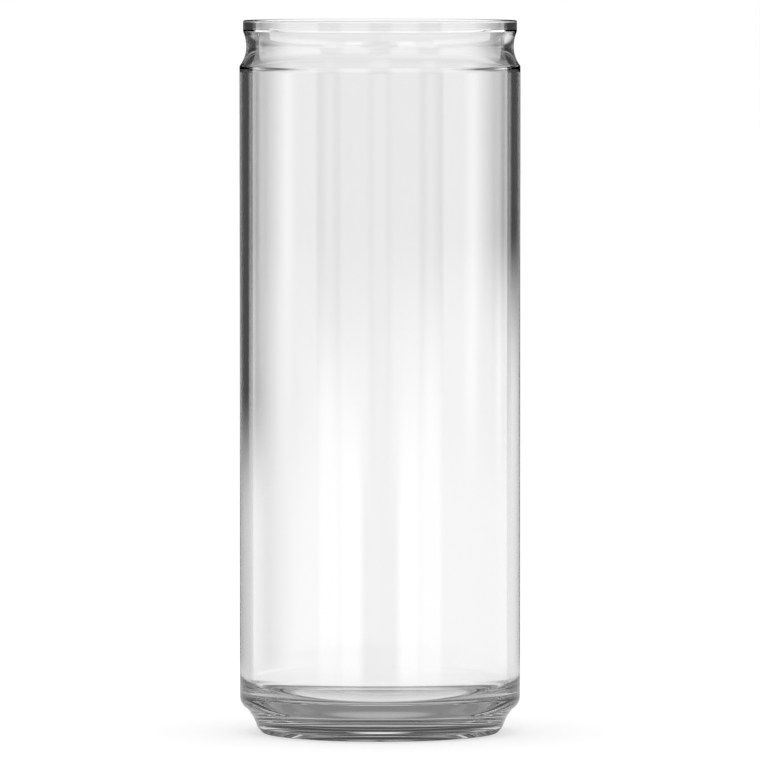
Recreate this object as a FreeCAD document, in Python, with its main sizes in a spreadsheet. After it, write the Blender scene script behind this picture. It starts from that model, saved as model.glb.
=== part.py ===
import FreeCAD, Part
import math
import os

import Sketcher

# A can shaped drinking glass, pressed and blown as one piece of clear glass.
# Millimetres. The axis is Z, and the glass stands on the plane Z = 0.
# An inset is measured inwards from the outside of the straight body.
SIZES = {
    "body_diameter": 58.0,
    "overall_height": 147.3,
    # wall of the straight body, and of the neck and lip above it
    "body_wall": 1.8,
    "neck_wall": 1.9,
    # lip: the upright band at the mouth
    "lip_inset": 0.74,
    "rim_bevel": 0.3,
    # neck: two arcs that meet at the narrowest ring, this far below the rim
    "neck_inset": 1.4,
    "neck_drop": 5.45,
    "neck_upper_radius": 7.9,
    "neck_lower_radius": 6.4,
    "shoulder_edge_radius": 0.4,
    # heel: the round edge under the body, which ends on the ledge of the foot
    "heel_radius": 3.02,
    "ledge_inset": 1.47,
    "ledge_height": 5.0,
    # foot: a hollow curve from the ledge down to a bevel, which ends on the base
    "foot_inset": 3.57,
    "cove_radius": 10.0,
    "foot_bevel_height": 1.23,
    "foot_bevel_width": 1.09,
    # bowl: the low dome of the floor and the round corner where it meets the wall
    "floor_height": 6.0,
    "floor_crown": 0.65,
    "bowl_corner_radius": 5.6,
    # punt: the flat hollow under the base, inside the ring that the glass stands on
    "contact_width": 1.2,
    "punt_side_width": 1.0,
    "punt_depth": 1.05,
}

# ends of a sketch curve, the sketch's own upright axis and its origin
START, END, CENTRE = 1, 2, 3
AXIS_LINE, ORIGIN_POINT = -2, (-1, 1)

# how near an edge lies to the ring that is looked for
EDGE_MATCH = 1e-3


def make_size_sheet(doc):
    """Puts each driving size in a cell of its own, under its own name."""
    sheet = doc.addObject("Spreadsheet::Sheet", "sizes")
    for row, (name, value) in enumerate(SIZES.items(), start=1):
        sheet.set(f"A{row}", name)
        sheet.set(f"B{row}", str(value))
        sheet.setAlias(f"B{row}", name)
    doc.recompute()
    return sheet


def rise(radius, inset):
    """Height that an arc, upright at one end, needs to move sideways by inset."""
    return math.sqrt(radius ** 2 - (radius - inset) ** 2)


def chord_centre(low, high, radius):
    """Centre, on the outer side, of an arc of this radius through two points."""
    across = high.sub(low)
    half = across.Length / 2
    outward = FreeCAD.Vector(across.y, -across.x, 0).normalize()
    middle = low.add(high).multiply(0.5)
    return middle.add(outward.multiply(math.sqrt(radius ** 2 - half ** 2)))


def point(radius, height):
    return FreeCAD.Vector(radius, height, 0)


def new_section(body, name):
    """A sketch on the body's own XZ plane: X is the radius, Y is the height."""
    sketch = body.newObject("Sketcher::SketchObject", name)
    planes = [plane for plane in body.Origin.OriginFeatures if plane.Role == "XZ_Plane"]
    sketch.AttachmentSupport = (planes[0], [""])
    sketch.MapMode = "FlatFace"
    return sketch


def add_line(sketch, start, end):
    return sketch.addGeometry(Part.LineSegment(start, end), False)


def add_arc(sketch, centre, start, end):
    """An arc that runs anticlockwise from start to end."""
    first = math.atan2(start.y - centre.y, start.x - centre.x)
    last = math.atan2(end.y - centre.y, end.x - centre.x)
    circle = Part.Circle(centre, FreeCAD.Vector(0, 0, 1), start.sub(centre).Length)
    return sketch.addGeometry(Part.ArcOfCircle(circle, first, last), False)


def join(sketch, *ends):
    """Ties each pair of ends, given as curve, end, curve, end."""
    for curve, end, other, other_end in ends:
        sketch.addConstraint(Sketcher.Constraint("Coincident", curve, end, other, other_end))


def level(sketch, *curves):
    for curve in curves:
        sketch.addConstraint(Sketcher.Constraint("Horizontal", curve))


def upright(sketch, *curves):
    for curve in curves:
        sketch.addConstraint(Sketcher.Constraint("Vertical", curve))


def drive(sketch, name, kind, references, value, expression):
    """Adds a named dimension and binds it to the sheet."""
    index = sketch.addConstraint(Sketcher.Constraint(kind, *references, value))
    sketch.renameConstraint(index, name)
    sketch.setExpression(f"Constraints.{name}", expression)


def drive_radius(sketch, name, curve, end, value, expression):
    drive(sketch, name, "DistanceX", (*ORIGIN_POINT, curve, end), value, expression)


def drive_height(sketch, name, curve, end, value, expression):
    drive(sketch, name, "DistanceY", (*ORIGIN_POINT, curve, end), value, expression)


def draw_outside(body, size):
    """Half section of the outside, from the base up to the rim."""
    sketch = new_section(body, "outside_section")
    body_radius = size.body_diameter / 2
    neck_height = size.overall_height - size.neck_drop
    lip_set_out = size.neck_inset - size.lip_inset

    foot = point(body_radius - size.foot_inset, size.foot_bevel_height)
    base_edge = point(foot.x - size.foot_bevel_width, 0)
    ledge = point(body_radius - size.ledge_inset, size.ledge_height)
    heel_top = point(body_radius, size.ledge_height + rise(size.heel_radius, size.ledge_inset))
    shoulder = point(body_radius, neck_height - rise(size.neck_lower_radius, size.neck_inset))
    neck = point(body_radius - size.neck_inset, neck_height)
    lip_edge = point(body_radius - size.lip_inset,
                     neck_height + rise(size.neck_upper_radius, lip_set_out))
    rim = point(body_radius - size.lip_inset, size.overall_height)

    cove_centre = chord_centre(foot, ledge, size.cove_radius)
    heel_centre = point(body_radius - size.heel_radius, heel_top.y)
    lower_centre = point(neck.x + size.neck_lower_radius, neck_height)
    upper_centre = point(neck.x + size.neck_upper_radius, neck_height)

    base = add_line(sketch, point(0, 0), base_edge)
    bevel = add_line(sketch, base_edge, foot)
    cove = add_arc(sketch, cove_centre, ledge, foot)
    heel = add_arc(sketch, heel_centre, ledge, heel_top)
    side = add_line(sketch, heel_top, shoulder)
    lower = add_arc(sketch, lower_centre, neck, shoulder)
    upper = add_arc(sketch, upper_centre, lip_edge, neck)
    lip = add_line(sketch, lip_edge, rim)
    top = add_line(sketch, rim, point(0, size.overall_height))
    axis = add_line(sketch, point(0, size.overall_height), point(0, 0))

    join(sketch,
         (base, END, bevel, START), (bevel, END, cove, END), (cove, START, heel, START),
         (side, END, lower, END), (lower, START, upper, END), (upper, START, lip, START),
         (lip, END, top, START), (top, END, axis, START), (axis, END, base, START),
         (base, START, *ORIGIN_POINT))
    level(sketch, base, top)
    upright(sketch, side, lip, axis)
    sketch.addConstraint(Sketcher.Constraint("Tangent", heel, END, side, START))
    for arc, end in ((lower, START), (upper, END)):
        sketch.addConstraint(Sketcher.Constraint("Horizontal", arc, CENTRE, arc, end))

    drive_radius(sketch, "base_reach", base, END, base_edge.x,
                 "sizes.body_diameter / 2 - sizes.foot_inset - sizes.foot_bevel_width")
    drive_radius(sketch, "foot_reach", bevel, END, foot.x,
                 "sizes.body_diameter / 2 - sizes.foot_inset")
    drive_height(sketch, "foot_level", bevel, END, foot.y, "sizes.foot_bevel_height")
    drive_radius(sketch, "ledge_reach", heel, START, ledge.x,
                 "sizes.body_diameter / 2 - sizes.ledge_inset")
    drive_height(sketch, "ledge_level", heel, START, ledge.y, "sizes.ledge_height")
    drive(sketch, "cove_round", "Radius", (cove,), size.cove_radius, "sizes.cove_radius")
    drive(sketch, "heel_round", "Radius", (heel,), size.heel_radius, "sizes.heel_radius")
    drive_radius(sketch, "body_reach", side, END, body_radius, "sizes.body_diameter / 2")
    drive(sketch, "lower_round", "Radius", (lower,), size.neck_lower_radius,
          "sizes.neck_lower_radius")
    drive(sketch, "upper_round", "Radius", (upper,), size.neck_upper_radius,
          "sizes.neck_upper_radius")
    drive_radius(sketch, "neck_reach", lower, START, neck.x,
                 "sizes.body_diameter / 2 - sizes.neck_inset")
    drive_height(sketch, "neck_level", lower, START, neck.y,
                 "sizes.overall_height - sizes.neck_drop")
    drive_radius(sketch, "lip_reach", lip, END, rim.x, "sizes.body_diameter / 2 - sizes.lip_inset")
    drive_height(sketch, "rim_level", lip, END, rim.y, "sizes.overall_height")
    return sketch


def draw_bowl(body, size):
    """Half section of the space inside, which follows the outside one wall in."""
    sketch = new_section(body, "bowl_section")
    bore = size.body_diameter / 2 - size.body_wall
    neck_height = size.overall_height - size.neck_drop
    neck_bore = size.body_diameter / 2 - size.neck_inset - size.neck_wall
    mouth_bore = size.body_diameter / 2 - size.lip_inset - size.neck_wall
    lower_radius = size.neck_lower_radius + size.neck_wall
    upper_radius = size.neck_upper_radius + size.neck_wall

    floor_edge = point(bore - size.bowl_corner_radius, size.floor_height)
    crown = point(0, size.floor_height + size.floor_crown)
    dome_radius = (floor_edge.x ** 2 + size.floor_crown ** 2) / (2 * size.floor_crown)
    corner_top = point(bore, size.floor_height + size.bowl_corner_radius)
    shoulder = point(bore, neck_height - rise(lower_radius, bore - neck_bore))
    neck = point(neck_bore, neck_height)
    mouth_edge = point(mouth_bore, neck_height + rise(upper_radius, mouth_bore - neck_bore))
    mouth = point(mouth_bore, size.overall_height)

    floor = add_arc(sketch, point(0, crown.y - dome_radius), floor_edge, crown)
    corner = add_arc(sketch, point(floor_edge.x, corner_top.y), floor_edge, corner_top)
    side = add_line(sketch, corner_top, shoulder)
    lower = add_arc(sketch, point(neck.x + lower_radius, neck_height), neck, shoulder)
    upper = add_arc(sketch, point(neck.x + upper_radius, neck_height), mouth_edge, neck)
    lip = add_line(sketch, mouth_edge, mouth)
    top = add_line(sketch, mouth, point(0, size.overall_height))
    axis = add_line(sketch, point(0, size.overall_height), crown)

    join(sketch,
         (floor, START, corner, START), (side, END, lower, END), (lower, START, upper, END),
         (upper, START, lip, START), (lip, END, top, START), (top, END, axis, START),
         (axis, END, floor, END))
    level(sketch, top)
    upright(sketch, side, lip)
    for curve, end in ((floor, CENTRE), (floor, END), (top, END)):
        sketch.addConstraint(Sketcher.Constraint("PointOnObject", curve, end, AXIS_LINE))
    sketch.addConstraint(Sketcher.Constraint("Vertical", corner, CENTRE, corner, START))
    sketch.addConstraint(Sketcher.Constraint("Tangent", corner, END, side, START))
    for arc, end in ((lower, START), (upper, END)):
        sketch.addConstraint(Sketcher.Constraint("Horizontal", arc, CENTRE, arc, end))

    drive_height(sketch, "floor_level", floor, START, size.floor_height, "sizes.floor_height")
    drive_height(sketch, "crown_level", floor, END, crown.y,
                 "sizes.floor_height + sizes.floor_crown")
    drive(sketch, "corner_round", "Radius", (corner,), size.bowl_corner_radius,
          "sizes.bowl_corner_radius")
    drive_radius(sketch, "bore_reach", side, END, bore, "sizes.body_diameter / 2 - sizes.body_wall")
    drive(sketch, "lower_round", "Radius", (lower,), lower_radius,
          "sizes.neck_lower_radius + sizes.neck_wall")
    drive(sketch, "upper_round", "Radius", (upper,), upper_radius,
          "sizes.neck_upper_radius + sizes.neck_wall")
    drive_radius(sketch, "neck_reach", lower, START, neck_bore,
                 "sizes.body_diameter / 2 - sizes.neck_inset - sizes.neck_wall")
    drive_height(sketch, "neck_level", lower, START, neck_height,
                 "sizes.overall_height - sizes.neck_drop")
    drive_radius(sketch, "mouth_reach", lip, END, mouth_bore,
                 "sizes.body_diameter / 2 - sizes.lip_inset - sizes.neck_wall")
    drive_height(sketch, "rim_level", lip, END, size.overall_height, "sizes.overall_height")
    return sketch


def draw_punt(body, size):
    """Half section of the flat hollow under the base, which narrows upwards."""
    sketch = new_section(body, "punt_section")
    base_edge = size.body_diameter / 2 - size.foot_inset - size.foot_bevel_width
    edge = point(base_edge - size.contact_width, 0)
    roof_edge = point(edge.x - size.punt_side_width, size.punt_depth)

    base = add_line(sketch, point(0, 0), edge)
    side = add_line(sketch, edge, roof_edge)
    roof = add_line(sketch, roof_edge, point(0, size.punt_depth))
    axis = add_line(sketch, point(0, size.punt_depth), point(0, 0))

    join(sketch,
         (base, END, side, START), (side, END, roof, START), (roof, END, axis, START),
         (axis, END, base, START), (base, START, *ORIGIN_POINT))
    level(sketch, base, roof)
    upright(sketch, axis)
    drive_radius(sketch, "punt_reach", base, END, edge.x,
                 "sizes.body_diameter / 2 - sizes.foot_inset - sizes.foot_bevel_width"
                 " - sizes.contact_width")
    drive(sketch, "side_reach", "DistanceX", (roof, START, base, END), size.punt_side_width,
          "sizes.punt_side_width")
    drive_height(sketch, "roof_level", side, END, size.punt_depth, "sizes.punt_depth")
    return sketch


def turn(body, kind, sketch, name):
    """Turns a half section right round the axis of the glass."""
    feature = body.newObject(kind, name)
    feature.Profile = sketch
    feature.ReferenceAxis = (sketch, ["V_Axis"])
    feature.Angle = 360.0
    sketch.Visibility = False
    return feature


def dress_edges(body, base, name, kind, rings, measure, size_name):
    """Rounds or bevels the ring edges that lie at the given radius and height."""
    names = []
    for number, edge in enumerate(base.Shape.Edges, start=1):
        if edge.Degenerated or not isinstance(edge.Curve, Part.Circle):
            continue
        centre = edge.Curve.Center
        for radius, height in rings:
            if math.hypot(edge.Curve.Radius - radius, centre.z - height) < EDGE_MATCH:
                names.append(f"Edge{number}")
    if len(names) != len(rings):
        raise RuntimeError(f"{name}: found {len(names)} of {len(rings)} edges")
    dressing = body.newObject(kind, name)
    dressing.Base = (base, names)
    dressing.setExpression(measure, f"sizes.{size_name}")
    return dressing


def make_glass(doc, size):
    """The whole glass: a turned form, hollowed from above and below, edges eased."""
    body = doc.addObject("PartDesign::Body", "glass_tumbler")
    body.Label = "glass_tumbler"

    turn(body, "PartDesign::Revolution", draw_outside(body, size), "turned_form")
    doc.recompute()
    solid_volume = body.Shape.Volume
    turn(body, "PartDesign::Groove", draw_bowl(body, size), "bowl")
    doc.recompute()
    hollow_volume = body.Shape.Volume
    punt = turn(body, "PartDesign::Groove", draw_punt(body, size), "punt")
    doc.recompute()
    if not solid_volume > hollow_volume > body.Shape.Volume:
        raise RuntimeError("a groove points away from the glass and cuts nothing")

    body_radius = size.body_diameter / 2
    lip_radius = body_radius - size.lip_inset
    neck_height = size.overall_height - size.neck_drop
    shoulder_height = neck_height - rise(size.neck_lower_radius, size.neck_inset)
    rim_rings = ((lip_radius, size.overall_height),
                 (lip_radius - size.neck_wall, size.overall_height))
    rim = dress_edges(body, punt, "rim_edge", "PartDesign::Chamfer", rim_rings, "Size",
                      "rim_bevel")
    doc.recompute()
    dress_edges(body, rim, "shoulder_edge", "PartDesign::Fillet",
                ((body_radius, shoulder_height),), "Radius", "shoulder_edge_radius")
    doc.recompute()
    return body


class SheetSizes:
    """Reads the sizes back from the sheet by name."""

    def __init__(self, sheet):
        self.sheet = sheet

    def __getattr__(self, name):
        return float(self.sheet.get(name))


def check(doc, bodies):
    """Stops the build if anything in the document failed."""
    for thing in doc.Objects:
        if "Invalid" in thing.State or "Error" in thing.State:
            raise RuntimeError(f"{thing.Name} failed: {thing.State}")
    for body in bodies:
        if body.Shape.isNull() or not body.Shape.isValid():
            raise RuntimeError(f"{body.Label} has no valid shape")


def main():
    doc = FreeCAD.newDocument("can_shaped_glass")
    sheet = make_size_sheet(doc)
    glass = make_glass(doc, SheetSizes(sheet))
    doc.recompute()
    check(doc, [glass])
    os.makedirs("parts", exist_ok=True)
    glass.Shape.exportStep(f"parts/{glass.Label}.step")
    box = glass.Shape.optimalBoundingBox()
    print(f"{glass.Label}: volume {glass.Shape.Volume:.1f} mm3, "
          f"size {box.XLength:.2f} x {box.YLength:.2f} x {box.ZLength:.2f} mm")


main()
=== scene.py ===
from math import acos, asin, cos, degrees, pi, radians, sin, sqrt, tan

import bmesh
import bpy
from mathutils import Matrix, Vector


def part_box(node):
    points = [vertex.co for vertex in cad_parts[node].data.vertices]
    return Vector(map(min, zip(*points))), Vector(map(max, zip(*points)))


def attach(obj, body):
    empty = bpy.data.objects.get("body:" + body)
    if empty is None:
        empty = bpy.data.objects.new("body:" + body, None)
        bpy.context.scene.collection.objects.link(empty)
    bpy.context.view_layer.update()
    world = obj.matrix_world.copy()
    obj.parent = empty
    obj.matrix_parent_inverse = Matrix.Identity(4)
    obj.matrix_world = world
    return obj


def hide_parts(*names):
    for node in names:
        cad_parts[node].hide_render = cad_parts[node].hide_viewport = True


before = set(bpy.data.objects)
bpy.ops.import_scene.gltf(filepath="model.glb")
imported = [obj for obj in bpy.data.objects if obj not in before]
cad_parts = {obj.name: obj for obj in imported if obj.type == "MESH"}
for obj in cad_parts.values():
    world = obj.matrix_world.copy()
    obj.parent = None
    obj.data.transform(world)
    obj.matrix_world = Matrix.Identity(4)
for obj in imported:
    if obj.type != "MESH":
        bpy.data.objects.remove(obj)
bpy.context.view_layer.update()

GLASS_NODE = "glass_tumbler"
MM = 0.001

low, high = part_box(GLASS_NODE)
BODY_RADIUS = (high.x - low.x) / 2
HEIGHT = high.z - low.z

# walls
BODY_WALL = 1.8 * MM
NECK_WALL = 1.9 * MM

# lip and neck, as insets from the body's outside and drops from the rim
LIP_INSET = 0.74 * MM
RIM_ROUND = 0.35 * MM
LIP_ROUND = 0.3 * MM
NECK_INSET = 1.4 * MM
NECK_DROP = 5.45 * MM
NECK_UPPER_RADIUS = 7.9 * MM
NECK_LOWER_RADIUS = 6.4 * MM
SHOULDER_ROUND = 0.4 * MM
INNER_SHOULDER_ROUND = 1.0 * MM

# heel, ledge and foot
HEEL_RADIUS = 3.02 * MM
LEDGE_INSET = 1.47 * MM
LEDGE_HEIGHT = 5.0 * MM
COVE_RADIUS = 10.0 * MM
FOOT_INSET = 3.57 * MM
BEVEL_HEIGHT = 1.23 * MM
BEVEL_WIDTH = 1.09 * MM

# bowl floor and the punt under it
FLOOR_HEIGHT = 6.0 * MM
FLOOR_CROWN = 0.5 * MM
BOWL_CORNER = 5.8 * MM
CONTACT_WIDTH = 2.34 * MM
PUNT_SIDE_WIDTH = 1.0 * MM
PUNT_DEPTH = 1.3 * MM
PUNT_ROUND = 0.08 * MM
FOOT_ROUND = 0.4 * MM

# mesh fineness
TURN_STEPS = 360
ARC_STEP = radians(5)
CREASE = radians(9)
HOLD = 0.15 * MM

# the glass: a trace of grey, faint waves across and up the wall, and patches of haze from hands
GLASS_TINT = (0.967, 0.967, 0.967, 1)
GLASS_INDEX = 1.52
WAVE_STRETCH = (60, 60, 12)
WAVE_LEAN = (0.001, 0.001, 0.001)
HAND_PATCHES = 45
HAND_START, HAND_FULL, HAND_HAZE = 0.55, 0.75, 0.003

# the table: a hair below the foot, so that light leaves the glass before it meets the table
TABLE_SIZE = 4.0
TABLE_DROP = 0.03 * MM
TABLE_PAINT = (0.6, 0.6, 0.6, 1)
TABLE_GLOW = 0.5

# In the light below, a soft step is an edge and the softness to either side of it, in mm from
# the axis or in degrees unless its comment says otherwise. A third number is the level beyond it.

# light from the table near the glass, with a painted shadow ring where the foot rests
TABLE_MIDDLE = 1.0
PAINTED_SHADOW_RINGS = ((19.0, 1.0, 0.46), (21.6, 0.4, 0.24), (31.0, 2.0, 0.6), (38.0, 4.0, 1.0))

# painted shade on the table that light turned round inside the foot meets; it splits by metres
# along Y
SHADE_START = (27.0, 2.0)
SHADE_SPLIT = (0.0, 20 * MM)
SHADE_FRONT, SHADE_BACK = 0.45, 0.72

# light from the far table by degrees round from straight behind, with painted shade that makes it
# dimmer on the left: the dim side lies further round near the glass, by this many degrees and mm
FAR_START = (170.0, 60.0)
FAR_DIM, FAR_BRIGHT = 0.77, 1.01
BRIGHT_START = (-4.5, 3.0)
FAR_SPREAD = 1200.0

# where the white table ends on the left, in the middle and on the right, and the steps between
TABLE_ENDS = ((1050.0, 400.0), (1500.0, 700.0), (2250.0, 1000.0))
MIDDLE_START = (-4.0, 2.0)
RIGHT_START = (0.0, 1.0)

# what shows through: a white sweep, dark flags beside it and paler walls at the corners
QUARTER = 90.0
SWEEP_EDGE, SWEEP_LEVEL = (8.2, 5.8), 0.92
CORNER_EDGE, CORNER_LEVEL = (40.0, 6.0), 0.75
FLAG_LEVEL = 0.085

# light from the walls to what is turned round in the foot: bars by start, end and softness
# in degrees of height, and their level; behind starts at a direction's share along Y
TURNED_START = (-0.7, 0.2)
BEHIND_START = (0.0, 0.15)
LIGHT_TURNED = 0.05
BACK_BARS = ((2.9, 4.5, 0.35, 0.45), (5.9, 7.0, 0.3, 0.21), (22.0, 30.0, 2.0, 0.12),
             (37.0, 43.0, 1.5, 0.8))
FRONT_BARS = ((5.0, 10.0, 1.0, 0.55), (35.0, 60.0, 5.0, 0.3))

# what the skin reflects, by degrees round from straight behind: a soft box at each side, which
# fades towards the camera, a gap, and a box beside the camera, with their levels low and high
SIDE_BOX, SIDE_BOX_HIGH = (51.0, 127.0, 2.0), 3.0
SIDE_BOX_FADE, SIDE_BOX_FADED = (68.0, 6.0), 0.78
SIDE_BOX_LOW_LEFT, SIDE_BOX_LOW_RIGHT = 1.7, 1.2
GAP, GAP_LOW, GAP_HIGH = (128.0, 146.0, 3.0), 2.4, 0.3
FRONT_BOX, FRONT_BOX_HIGH = (147.0, 171.0, 3.0), 1.9
FRONT_BOX_BELOW, FRONT_BOX_LOW = (147.0, 165.0, 4.0), 2.9
# the height where low changes to high, which slants down towards the camera past the side boxes
HIGH_START = (-2.7, 0.7)
SLANT_START, SLANT = 128.0, 0.02
FRONT_HIGH_START = (-2.4, 0.6)
# plain walls further down and further up
WALLS_BELOW, WALLS_ABOVE, WALLS_LEVEL = (-20.0, 4.0), (20.0, 5.0), 0.6

# the camera, fitted to the outline in the photo
LENS = 447.35
CAMERA_PLACE = (0, -1.9503, 0.16834)
CAMERA_DIP = radians(2.80)


def rise(radius, inset):
    """Height that an arc, upright at one end, needs to move sideways by inset."""
    return sqrt(radius ** 2 - (radius - inset) ** 2)


def place(radius, height):
    return Vector((radius, 0, height))


class Pen:
    """Draws a section in the XZ plane: X is the radius, Z the height."""

    def __init__(self, bm, start):
        self.bm = bm
        self.tip = bm.verts.new(start)

    def step(self, end):
        following = self.bm.verts.new(end)
        self.bm.edges.new((self.tip, following))
        self.tip = following

    def line(self, end):
        """A straight run, with a point close to each end so that its shading stays flat."""
        start = self.tip.co.copy()
        length = (end - start).length
        if length > 4 * HOLD:
            self.step(start.lerp(end, HOLD / length))
            self.step(start.lerp(end, 1 - HOLD / length))
        self.step(end)

    def arc(self, centre, angle):
        """Swings round a centre; a positive angle turns from up towards outwards."""
        steps = max(2, round(abs(angle) / ARC_STEP))
        swung = bmesh.ops.spin(self.bm, geom=[self.tip], cent=centre,
                               axis=(0, 1, 0), angle=angle, steps=steps)
        ends = [piece for piece in swung["geom_last"] if isinstance(piece, bmesh.types.BMVert)]
        self.tip = ends[0]

    def bend(self, corner, after, radius):
        """A straight run up to a rounded corner, which leaves towards the point after it."""
        before = (corner - self.tip.co).normalized()
        onward = (after - corner).normalized()
        angle = before.angle(onward)
        leftward = before.x * onward.z - before.z * onward.x > 0
        self.line(corner - before * radius * tan(angle / 2))
        centre = corner + (onward - before).normalized() * radius / cos(angle / 2)
        self.arc(centre, -angle if leftward else angle)


def cove_centre(foot, ledge):
    across = ledge - foot
    outward = Vector((across.z, 0, -across.x)).normalized()
    return (foot + ledge) / 2 + outward * sqrt(COVE_RADIUS ** 2 - (across.length / 2) ** 2)


def draw_base(pen):
    """The underside: the flat punt, its side, the ring the glass stands on and the bevel."""
    foot = place(BODY_RADIUS - FOOT_INSET, BEVEL_HEIGHT)
    ledge = place(BODY_RADIUS - LEDGE_INSET, LEDGE_HEIGHT)
    base_edge = place(foot.x - BEVEL_WIDTH, 0)
    punt_edge = place(base_edge.x - CONTACT_WIDTH, 0)
    roof_edge = place(punt_edge.x - PUNT_SIDE_WIDTH, PUNT_DEPTH)
    cove = cove_centre(foot, ledge)
    pen.bend(roof_edge, punt_edge, PUNT_ROUND)
    pen.bend(punt_edge, base_edge, PUNT_ROUND)
    pen.bend(base_edge, foot, FOOT_ROUND)
    pen.bend(foot, foot + place(foot.z - cove.z, cove.x - foot.x), FOOT_ROUND)


def draw_heel(pen):
    """The hollow cove up to the ledge, then the round heel under the straight body."""
    start = pen.tip.co.copy()
    ledge = place(BODY_RADIUS - LEDGE_INSET, LEDGE_HEIGHT)
    cove = cove_centre(start, ledge)
    pen.arc(cove, (start - cove).angle(ledge - cove))

    heel_rise = rise(HEEL_RADIUS, LEDGE_INSET)
    centre = place(BODY_RADIUS - HEEL_RADIUS, LEDGE_HEIGHT + heel_rise)
    pen.arc(centre, -asin(heel_rise / HEEL_RADIUS))


def draw_outside_neck(pen):
    """Up the body, in over the shoulder to the throat and out again to the lip."""
    neck_height = HEIGHT - NECK_DROP
    neck_radius = BODY_RADIUS - NECK_INSET
    lip_radius = BODY_RADIUS - LIP_INSET

    reach = NECK_LOWER_RADIUS + SHOULDER_ROUND
    lower = place(neck_radius + NECK_LOWER_RADIUS, neck_height)
    swing = acos((lower.x - BODY_RADIUS + SHOULDER_ROUND) / reach)
    shoulder = place(BODY_RADIUS - SHOULDER_ROUND, neck_height - reach * sin(swing))
    pen.line(shoulder + place(SHOULDER_ROUND, 0))
    pen.arc(shoulder, -swing)
    pen.arc(lower, swing)

    reach = NECK_UPPER_RADIUS + LIP_ROUND
    upper = place(neck_radius + NECK_UPPER_RADIUS, neck_height)
    swing = acos((upper.x - lip_radius + LIP_ROUND) / reach)
    lip = place(lip_radius - LIP_ROUND, neck_height + reach * sin(swing))
    pen.arc(upper, swing)
    pen.arc(lip, -swing)


def draw_rim(pen):
    lip_radius = BODY_RADIUS - LIP_INSET
    mouth_radius = lip_radius - NECK_WALL
    pen.bend(place(lip_radius, HEIGHT), place(mouth_radius, HEIGHT), RIM_ROUND)
    pen.bend(place(mouth_radius, HEIGHT), place(mouth_radius, 0), RIM_ROUND)


def draw_inside_neck(pen):
    """The neck's inside, which follows its outside at an even wall."""
    neck_height = HEIGHT - NECK_DROP
    neck_radius = BODY_RADIUS - NECK_INSET
    mouth_radius = BODY_RADIUS - LIP_INSET - NECK_WALL
    bore = BODY_RADIUS - BODY_WALL

    upper = place(neck_radius + NECK_UPPER_RADIUS, neck_height)
    upper_radius = NECK_UPPER_RADIUS + NECK_WALL
    swing = acos((upper.x - mouth_radius) / upper_radius)
    pen.line(upper + place(mouth_radius - upper.x, upper_radius * sin(swing)))
    pen.arc(upper, -swing)

    lower = place(neck_radius + NECK_LOWER_RADIUS, neck_height)
    reach = NECK_LOWER_RADIUS + NECK_WALL + INNER_SHOULDER_ROUND
    swing = acos((lower.x - bore + INNER_SHOULDER_ROUND) / reach)
    shoulder = place(bore - INNER_SHOULDER_ROUND, neck_height - reach * sin(swing))
    pen.arc(lower, -swing)
    pen.arc(shoulder, swing)


def draw_bowl(pen):
    """Down the wall, round the corner and up the low dome of the floor."""
    bore = BODY_RADIUS - BODY_WALL
    floor_radius = bore - BOWL_CORNER
    corner = place(floor_radius, FLOOR_HEIGHT + BOWL_CORNER)
    pen.line(corner + place(BOWL_CORNER, 0))
    pen.arc(corner, pi / 2)
    dome_radius = (floor_radius ** 2 + FLOOR_CROWN ** 2) / (2 * FLOOR_CROWN)
    pen.arc(place(0, FLOOR_HEIGHT + FLOOR_CROWN - dome_radius), -asin(floor_radius / dome_radius))


def draw_section(bm):
    """The section of the glass, from the middle of the punt round to the middle of the floor."""
    pen = Pen(bm, place(0, PUNT_DEPTH))
    draw_base(pen)
    draw_heel(pen)
    draw_outside_neck(pen)
    draw_rim(pen)
    draw_inside_neck(pen)
    draw_bowl(pen)


def add_object(name, bm):
    mesh = bpy.data.meshes.new(name)
    bm.to_mesh(mesh)
    bm.free()
    thing = bpy.data.objects.new(name, mesh)
    bpy.context.scene.collection.objects.link(thing)
    return thing


def make_glass():
    """Turns the section right round the axis into one closed skin."""
    bm = bmesh.new()
    draw_section(bm)
    bmesh.ops.spin(bm, geom=bm.verts[:] + bm.edges[:], cent=(0, 0, 0), axis=(0, 0, 1),
                   angle=2 * pi, steps=TURN_STEPS, use_merge=True)
    bmesh.ops.remove_doubles(bm, verts=bm.verts[:], dist=MM / 1000)
    bmesh.ops.recalc_face_normals(bm, faces=bm.faces[:])
    for face in bm.faces:
        face.smooth = True
    for edge in bm.edges:
        edge.smooth = edge.calc_face_angle() < CREASE
    return add_object("clear_tumbler", bm)


def feed(tree, value, socket):
    """Sets a socket to a plain value, or links another node's output to it."""
    if isinstance(value, bpy.types.NodeSocket):
        tree.links.new(value, socket)
    else:
        socket.default_value = value


def math_node(tree, operation, *values):
    node = tree.nodes.new("ShaderNodeMath")
    node.operation = operation
    for socket, value in zip(node.inputs, values):
        feed(tree, value, socket)
    return node.outputs[0]


def vector_node(tree, operation, *values):
    node = tree.nodes.new("ShaderNodeVectorMath")
    node.operation = operation
    for socket, value in zip(node.inputs, values):
        feed(tree, value, socket)
    return node.outputs["Value" if operation == "LENGTH" else "Vector"]


def split_vector(tree, vector):
    node = tree.nodes.new("ShaderNodeSeparateXYZ")
    tree.links.new(vector, node.inputs[0])
    return node.outputs


def blend(tree, factor, first, second):
    """Goes from the first value to the second as the factor goes from 0 to 1."""
    node = tree.nodes.new("ShaderNodeMix")
    node.data_type = "FLOAT"
    for name, value in (("Factor", factor), ("A", first), ("B", second)):
        feed(tree, value, node.inputs[name])
    return node.outputs["Result"]


def soft_step(tree, value, edge, softness):
    """0 below the edge and 1 above it, with a soft change over the softness to either side."""
    node = tree.nodes.new("ShaderNodeMapRange")
    node.interpolation_type = "SMOOTHSTEP"
    tree.links.new(value, node.inputs["Value"])
    node.inputs["From Min"].default_value = edge - softness
    node.inputs["From Max"].default_value = edge + softness
    return node.outputs[0]


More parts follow.
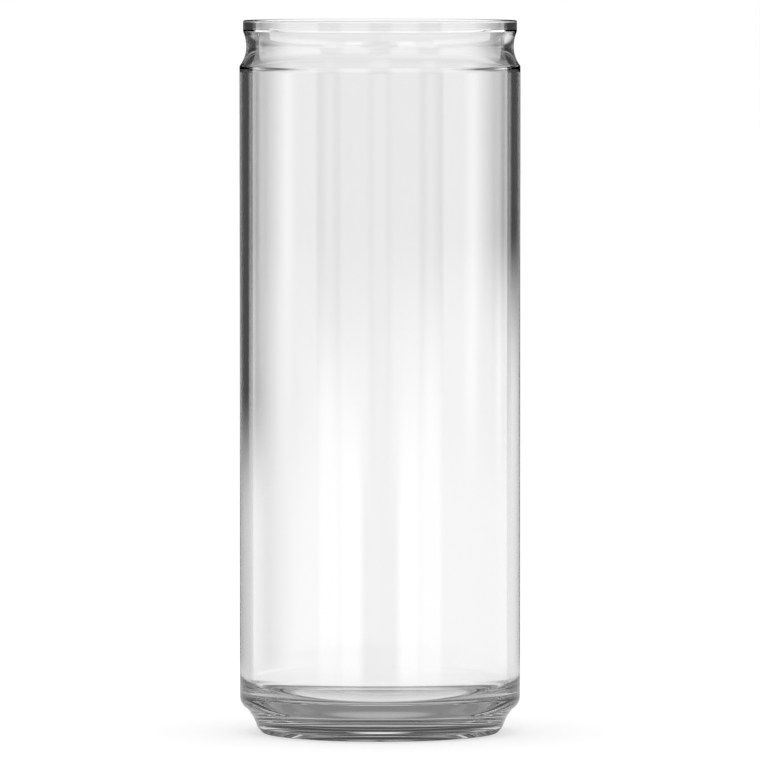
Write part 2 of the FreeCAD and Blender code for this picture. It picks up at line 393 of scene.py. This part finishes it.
def soft_steps(tree, value, level, steps):
    """A level that changes at each soft step to the one given for beyond it."""
    for edge, softness, beyond in steps:
        level = blend(tree, soft_step(tree, value, edge, softness), level, beyond)
    return level


def window(tree, value, start, end, softness):
    """1 from the start to the end and 0 outside, with soft edges."""
    above = soft_step(tree, value, start, softness)
    below = soft_step(tree, value, end, softness)
    return math_node(tree, "SUBTRACT", above, below)


def degrees_round(tree, x, y):
    """Degrees round the axis from straight behind the glass, negative on the left."""
    return math_node(tree, "MULTIPLY", math_node(tree, "ARCTAN2", x, y), degrees(1))


def turned_inside(tree, path):
    """1 for light that was turned round inside the glass."""
    return math_node(tree, "GREATER_THAN", path.outputs["Glossy Depth"], 0.5)


def mix_shaders(tree, factor, first, second):
    node = tree.nodes.new("ShaderNodeMixShader")
    for socket, source in zip(node.inputs, (factor, first, second)):
        tree.links.new(source, socket)
    return node.outputs[0]


def glow(tree, strength):
    node = tree.nodes.new("ShaderNodeEmission")
    feed(tree, strength, node.inputs["Strength"])
    return node.outputs[0]


def waved_normal(tree, spot):
    """Leans the surface by the long faint waves that drawing leaves up the wall."""
    waves = tree.nodes.new("ShaderNodeTexNoise")
    waves.inputs["Detail"].default_value = 0
    feed(tree, vector_node(tree, "MULTIPLY", spot, WAVE_STRETCH), waves.inputs["Vector"])
    lean = vector_node(tree, "SUBTRACT", waves.outputs["Color"], (0.5, 0.5, 0.5))
    lean = vector_node(tree, "MULTIPLY", lean, WAVE_LEAN)
    normal = tree.nodes.new("ShaderNodeNewGeometry").outputs["Normal"]
    return vector_node(tree, "NORMALIZE", vector_node(tree, "ADD", lean, normal))


def hand_haze(tree, spot):
    """Patches of a trace more haze, where hands have been."""
    hands = tree.nodes.new("ShaderNodeTexNoise")
    hands.inputs["Scale"].default_value = HAND_PATCHES
    tree.links.new(spot, hands.inputs["Vector"])
    haze = tree.nodes.new("ShaderNodeMapRange")
    for name, value in (("Value", hands.outputs[0]), ("From Min", HAND_START),
                        ("From Max", HAND_FULL), ("To Max", HAND_HAZE)):
        feed(tree, value, haze.inputs[name])
    return haze.outputs[0]


def clear_glass():
    """Clear soda glass, fire polished, so only the faintest waves are left in its skin."""
    material = bpy.data.materials.new("clear_soda_glass")
    material.use_nodes = True
    tree = material.node_tree
    shader = tree.nodes["Principled BSDF"]
    shader.inputs["Base Color"].default_value = GLASS_TINT
    shader.inputs["IOR"].default_value = GLASS_INDEX
    shader.inputs["Transmission Weight"].default_value = 1.0
    spot = tree.nodes.new("ShaderNodeTexCoord").outputs["Object"]
    tree.links.new(waved_normal(tree, spot), shader.inputs["Normal"])
    tree.links.new(hand_haze(tree, spot), shader.inputs["Roughness"])
    return material


def near_table_painted_shade(tree, radius, y, path):
    """Light from the table by the glass: bright under the punt, a painted shadow where the foot
    rests.
    """
    # the rings are a painted shadow round where the foot rests, in the glow the glass shows
    level = soft_steps(tree, radius, TABLE_MIDDLE, PAINTED_SHADOW_RINGS)
    # light that was turned round inside the foot meets painted shade on the table, most on the
    # near side
    shade = soft_step(tree, radius, *SHADE_START)
    shade = math_node(tree, "MULTIPLY", turned_inside(tree, path), shade)
    at_back = soft_step(tree, y, *SHADE_SPLIT)
    return blend(tree, shade, level, blend(tree, at_back, SHADE_FRONT, SHADE_BACK))


def table_in_glass(tree, path):
    """The table as the glass shows it, a glow with painted shade on it, which gives way to the
    walls beyond its end.
    """
    spot = tree.nodes.new("ShaderNodeTexCoord").outputs["Object"]
    x, y, _ = split_vector(tree, spot)
    radius = math_node(tree, "DIVIDE", vector_node(tree, "LENGTH", spot), MM)
    turn = degrees_round(tree, x, y)
    far = soft_step(tree, radius, *FAR_START)
    # painted shade makes the far table dimmer on the left
    spread = math_node(tree, "ADD", turn, math_node(tree, "DIVIDE", FAR_SPREAD, radius))
    far_level = blend(tree, soft_step(tree, spread, *BRIGHT_START), FAR_DIM, FAR_BRIGHT)
    level = blend(tree, far, near_table_painted_shade(tree, radius, y, path), far_level)

    left, middle, right = (soft_step(tree, radius, *end) for end in TABLE_ENDS)
    end = soft_steps(tree, turn, left, (MIDDLE_START + (middle,), RIGHT_START + (right,)))
    # the skin reflects only the near table
    end = blend(tree, path.outputs["Is Transmission Ray"], far, end)
    walls = tree.nodes.new("ShaderNodeBsdfTransparent").outputs[0]
    return mix_shaders(tree, end, glow(tree, level), walls)


def table_in_view(tree, path):
    """The table as the camera sees it: pale paint, which some glow lifts to white."""
    paint = tree.nodes.new("ShaderNodeBsdfDiffuse")
    paint.inputs["Color"].default_value = TABLE_PAINT
    lifted = tree.nodes.new("ShaderNodeAddShader")
    tree.links.new(paint.outputs[0], lifted.inputs[0])
    tree.links.new(glow(tree, TABLE_GLOW), lifted.inputs[1])
    seen = path.outputs["Is Camera Ray"]
    return mix_shaders(tree, seen, paint.outputs[0], lifted.outputs[0])


def make_floor():
    bm = bmesh.new()
    bmesh.ops.create_grid(bm, x_segments=1, y_segments=1, size=TABLE_SIZE)
    bmesh.ops.translate(bm, vec=(0, 0, -TABLE_DROP), verts=bm.verts)
    floor = add_object("floor", bm)
    # white to the camera; to the glass, a glow with painted shade round the foot
    material = bpy.data.materials.new("white_sweep_painted_shade")
    material.use_nodes = True
    tree = material.node_tree
    tree.nodes.clear()
    path = tree.nodes.new("ShaderNodeLightPath")
    by_glass = math_node(tree, "MAXIMUM", path.outputs["Is Glossy Ray"],
                         path.outputs["Is Transmission Ray"])
    table = mix_shaders(tree, by_glass, table_in_view(tree, path), table_in_glass(tree, path))
    output = tree.nodes.new("ShaderNodeOutputMaterial")
    tree.links.new(table, output.inputs["Surface"])
    floor.data.materials.append(material)


def light_through(tree, turn):
    """What shows through the glass: the same sweep, flags and walls on each of four sides."""
    folded = math_node(tree, "ADD", turn, QUARTER / 2)
    folded = math_node(tree, "FLOORED_MODULO", folded, QUARTER)
    side = math_node(tree, "ABSOLUTE", math_node(tree, "SUBTRACT", folded, QUARTER / 2))
    sweep = math_node(tree, "SUBTRACT", 1.0, soft_step(tree, side, *SWEEP_EDGE))
    sweep = math_node(tree, "MULTIPLY", sweep, SWEEP_LEVEL)
    corner = math_node(tree, "MULTIPLY", soft_step(tree, side, *CORNER_EDGE), CORNER_LEVEL)
    return math_node(tree, "MAXIMUM", math_node(tree, "MAXIMUM", sweep, corner), FLAG_LEVEL)


def light_bars(tree, lift, bars):
    level = LIGHT_TURNED
    for start, end, softness, bright in bars:
        level = blend(tree, window(tree, lift, start, end, softness), level, bright)
    return level


def light_turned(tree, lift, behind):
    """What light that was turned round inside the foot meets: dark walls with bright bars."""
    front = light_bars(tree, lift, FRONT_BARS)
    return blend(tree, behind, front, light_bars(tree, lift, BACK_BARS))


def side_boxes(tree, turn, side, lift):
    """A tall soft box at each side of the glass, duller where the table takes its place."""
    boxes = window(tree, side, *SIDE_BOX)
    faded = soft_step(tree, side, *SIDE_BOX_FADE)
    boxes = math_node(tree, "MULTIPLY", boxes, blend(tree, faded, 1.0, SIDE_BOX_FADED))
    on_right = soft_step(tree, turn, *RIGHT_START)
    low_level = blend(tree, on_right, SIDE_BOX_LOW_LEFT, SIDE_BOX_LOW_RIGHT)
    level = blend(tree, soft_step(tree, lift, *HIGH_START), low_level, SIDE_BOX_HIGH)
    return math_node(tree, "MULTIPLY", boxes, level)


def front_boxes(tree, side, lift):
    """A soft box on each side of the camera and the gap beside it, over the pale table."""
    past = math_node(tree, "MAXIMUM", math_node(tree, "SUBTRACT", side, SLANT_START), 0.0)
    slanted = math_node(tree, "MULTIPLY_ADD", past, SLANT, lift)
    up = soft_step(tree, slanted, *FRONT_HIGH_START)
    gap = math_node(tree, "MULTIPLY", window(tree, side, *GAP),
                    blend(tree, up, GAP_LOW, GAP_HIGH))
    front = blend(tree, up, window(tree, side, *FRONT_BOX_BELOW), window(tree, side, *FRONT_BOX))
    front = math_node(tree, "MULTIPLY", front, blend(tree, up, FRONT_BOX_LOW, FRONT_BOX_HIGH))
    return math_node(tree, "ADD", gap, front)


def light_reflected(tree, turn, lift):
    """What shows in the skin of the glass: soft boxes round it, and plain walls above them."""
    side = math_node(tree, "ABSOLUTE", turn)
    boxes = math_node(tree, "ADD", side_boxes(tree, turn, side, lift),
                      front_boxes(tree, side, lift))
    level = blend(tree, soft_step(tree, lift, *WALLS_BELOW), WALLS_LEVEL, boxes)
    return blend(tree, soft_step(tree, lift, *WALLS_ABOVE), level, WALLS_LEVEL)


def make_studio():
    """The surroundings, as they show through the glass and in it."""
    world = bpy.data.worlds.new("studio")
    bpy.context.scene.world = world
    world.use_nodes = True
    tree = world.node_tree
    tree.nodes.clear()
    x, y, z = split_vector(tree, tree.nodes.new("ShaderNodeTexCoord").outputs["Generated"])
    turn = degrees_round(tree, x, y)
    lift = math_node(tree, "MULTIPLY", math_node(tree, "ARCSINE", z), degrees(1))

    path = tree.nodes.new("ShaderNodeLightPath")
    turned = math_node(tree, "MULTIPLY", turned_inside(tree, path),
                       soft_step(tree, lift, *TURNED_START))
    behind = soft_step(tree, y, *BEHIND_START)
    through = blend(tree, turned, light_through(tree, turn), light_turned(tree, lift, behind))
    reflected = light_reflected(tree, turn, lift)
    level = blend(tree, path.outputs["Is Glossy Ray"], 1.0, reflected)
    level = blend(tree, path.outputs["Is Transmission Ray"], level, through)
    background = tree.nodes.new("ShaderNodeBackground")
    background.inputs["Color"].default_value = (1, 1, 1, 1)
    tree.links.new(level, background.inputs["Strength"])
    output = tree.nodes.new("ShaderNodeOutputWorld")
    tree.links.new(background.outputs[0], output.inputs["Surface"])


def make_camera():
    data = bpy.data.cameras.new("camera")
    data.sensor_width = 36.0
    data.lens = LENS
    data.clip_end = 100
    camera = bpy.data.objects.new("camera", data)
    camera.location = CAMERA_PLACE
    camera.rotation_euler = (pi / 2 - CAMERA_DIP, 0, 0)
    bpy.context.scene.collection.objects.link(camera)
    bpy.context.scene.camera = camera


glass = make_glass()
glass.data.materials.append(clear_glass())
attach(glass, "root")
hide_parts(GLASS_NODE)
make_floor()
make_studio()
make_camera()

scene = bpy.context.scene
scene.view_settings.view_transform = "Standard"
scene.cycles.max_bounces = 48
scene.cycles.transmission_bounces = 40
scene.cycles.glossy_bounces = 24
